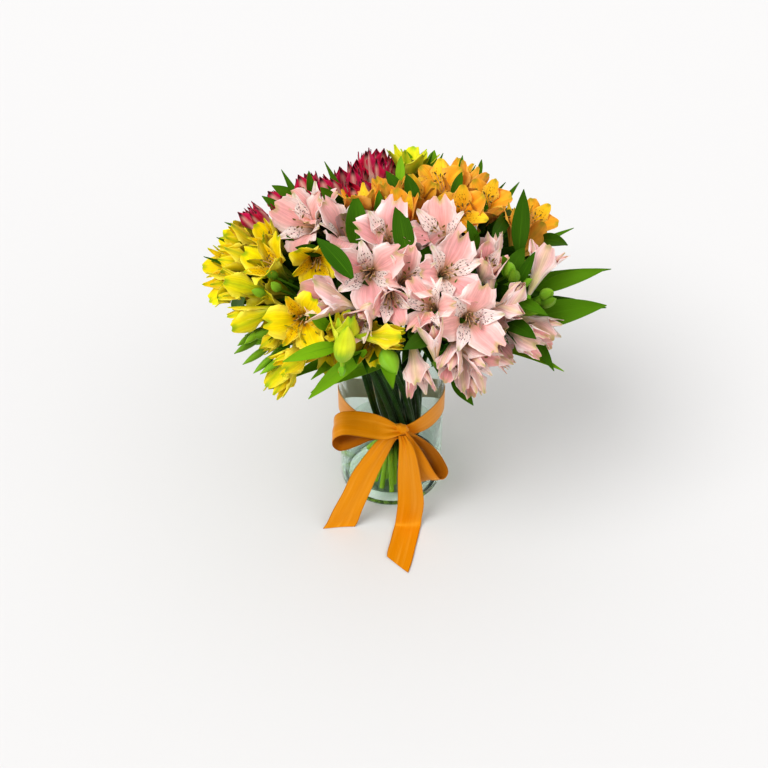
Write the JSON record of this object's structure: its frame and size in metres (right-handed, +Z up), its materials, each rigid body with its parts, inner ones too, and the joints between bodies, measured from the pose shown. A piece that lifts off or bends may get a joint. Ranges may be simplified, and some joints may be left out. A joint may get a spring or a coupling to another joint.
{
  "type": "alstroemeria bouquet in a glass vase",
  "caption": "Cut alstroemeria bouquet in mixed colours standing in a clear glass cylinder vase with water and an orange satin ribbon bow.",
  "frame": {"origin": "middle of the vase's underside", "axes": "+Z up along the vase's axis, the ribbon's bow faces -Y"},
  "size_m": [0.3537, 0.2863, 0.3356],
  "materials": {
    "vase_glass": "clear, faintly green, thick base",
    "water": "clear still water",
    "petal_yellow": "soft petal, satin sheen, lime midribs",
    "petal_pink": "soft petal, pale salmon with maroon streaks on the inner tepals",
    "petal_orange": "soft petal, amber with yellow heart and fine streaks",
    "petal_lime": "soft petal, lime yellow",
    "petal_crimson": "soft petal, magenta crimson with dark tips",
    "leaf_green": "waxy green leaf and stem, parallel veins",
    "ribbon_satin": "woven satin with a fine edge"
  },
  "bodies": {
    "root": {"vase": "vase_glass", "water": "water", "stem_yellow_1": "leaf_green", "head_yellow_1": "petal_yellow", "stem_yellow_2": "leaf_green", "head_yellow_2": "petal_yellow", "stem_yellow_3": "leaf_green", "head_yellow_3": "petal_yellow", "stem_yellow_4": "leaf_green", "head_yellow_4": "petal_yellow", "stem_yellow_5": "leaf_green", "head_yellow_5": "petal_yellow", "stem_yellow_6": "leaf_green", "head_yellow_6": "petal_yellow", "stem_pink_1": "leaf_green", "head_pink_1": "petal_pink", "stem_pink_2": "leaf_green", "head_pink_2": "petal_pink", "stem_pink_3": "leaf_green", "head_pink_3": "petal_pink", "stem_pink_4": "leaf_green", "head_pink_4": "petal_pink", "stem_pink_5": "leaf_green", "head_pink_5": "petal_pink", "stem_pink_6": "leaf_green", "head_pink_6": "petal_pink", "stem_pink_7": "leaf_green", "head_pink_7": "petal_pink", "stem_pink_8": "leaf_green", "head_pink_8": "petal_pink", "stem_orange_1": "leaf_green", "head_orange_1": "petal_orange", "stem_orange_2": "leaf_green", "head_orange_2": "petal_orange", "stem_orange_3": "leaf_green", "head_orange_3": "petal_orange", "stem_orange_4": "leaf_green", "head_orange_4": "petal_orange", "stem_orange_5": "leaf_green", "head_orange_5": "petal_orange", "stem_lime_1": "leaf_green", "head_lime_1": "petal_lime", "stem_lime_2": "leaf_green", "head_lime_2": "petal_lime", "stem_crimson_1": "leaf_green", "head_crimson_1": "petal_crimson", "stem_crimson_2": "leaf_green", "head_crimson_2": "petal_crimson", "stem_crimson_3": "leaf_green", "head_crimson_3": "petal_crimson", "stem_crimson_4": "leaf_green", "head_crimson_4": "petal_crimson", "stem_crimson_5": "leaf_green", "head_crimson_5": "petal_crimson", "stem_crimson_6": "leaf_green", "head_crimson_6": "petal_crimson", "ribbon_band": "ribbon_satin", "ribbon_bow": "ribbon_satin", "ribbon_tail_left": "ribbon_satin", "ribbon_tail_right": "ribbon_satin"}
  },
  "joints": []
}
